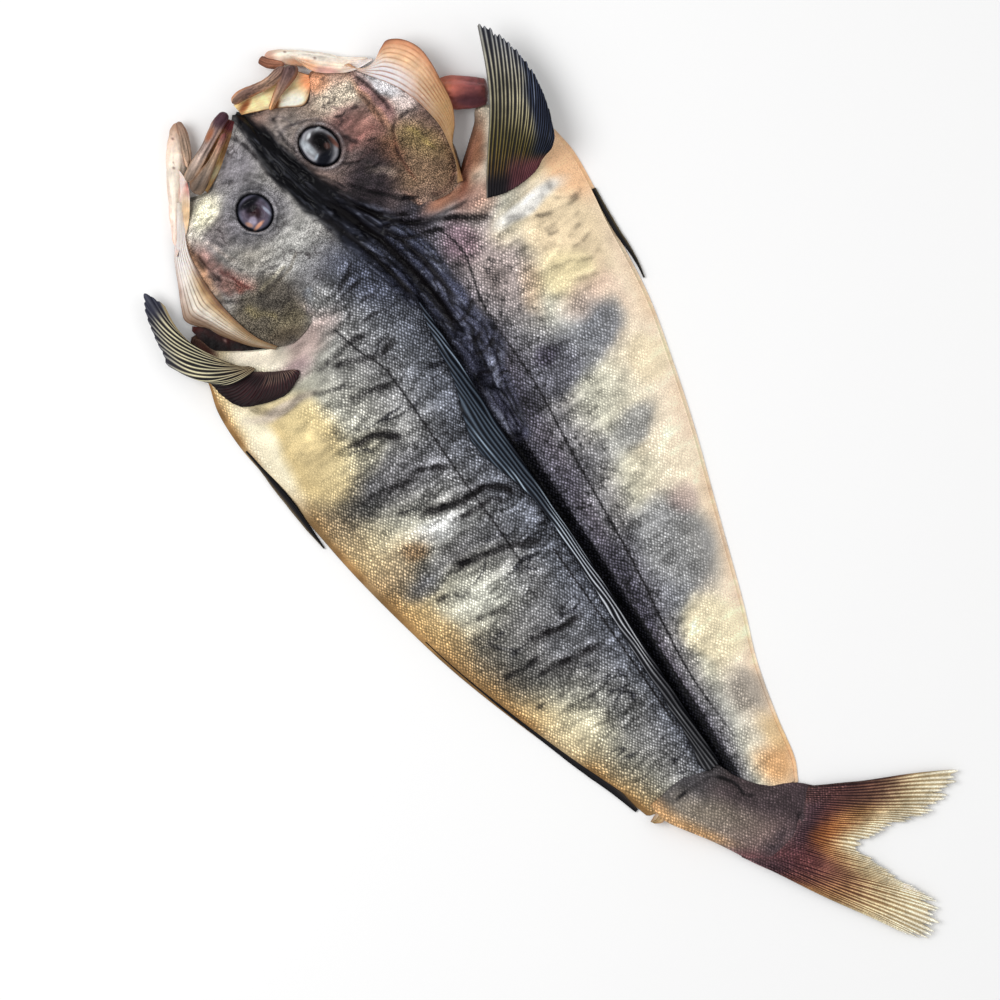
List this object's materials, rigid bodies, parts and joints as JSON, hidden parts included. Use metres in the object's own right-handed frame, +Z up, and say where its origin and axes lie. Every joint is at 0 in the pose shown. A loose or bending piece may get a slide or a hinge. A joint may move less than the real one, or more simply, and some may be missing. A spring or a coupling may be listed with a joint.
{
  "type": "semi-dried atka mackerel",
  "caption": "Whole split and half-dried fish, opened flat with head, fins and tail on, lying skin side up as food ready for grilling.",
  "frame": {"origin": "on the plane the fish rests on, straight under the back groove at the middle of the body", "axes": "+Y towards the head, +X towards the right flank, +Z up out of the skin side"},
  "size_m": [0.1877, 0.4454, 0.024],
  "materials": {
    "skin": "half-dried scaly skin, grey with dark bands and cream patches, faintly glossy",
    "flesh": "dried cream meat with a waxy cut face",
    "fin": "dried dark fin skin with fine pale rays",
    "tail": "dried tail skin, purple-brown at the root and straw towards the tips",
    "membrane": "thin cream skin with ribs and brown edges",
    "mouth": "thin yellow translucent skin",
    "bone": "dark brown dried jaw skin over bone",
    "meat": "dark red-brown dried meat",
    "eye": "wet glossy clouded eye"
  },
  "bodies": {
    "root": {"body": "skin", "flesh": "flesh", "dorsal_fin": "fin", "anal_fin": "fin", "pectoral_left": "fin", "pectoral_right": "fin", "pelvic_left": "fin", "pelvic_right": "fin", "tail_fin": "tail", "gill_fan_left": "membrane", "gill_fan_right": "membrane", "mouth_skin_left": "mouth", "mouth_skin_right": "mouth", "upper_jaw_left": "bone", "upper_jaw_right": "bone", "lower_jaw_left": "membrane", "lower_jaw_right": "membrane", "throat": "meat", "eye_left": "eye", "eye_right": "eye"}
  },
  "joints": []
}
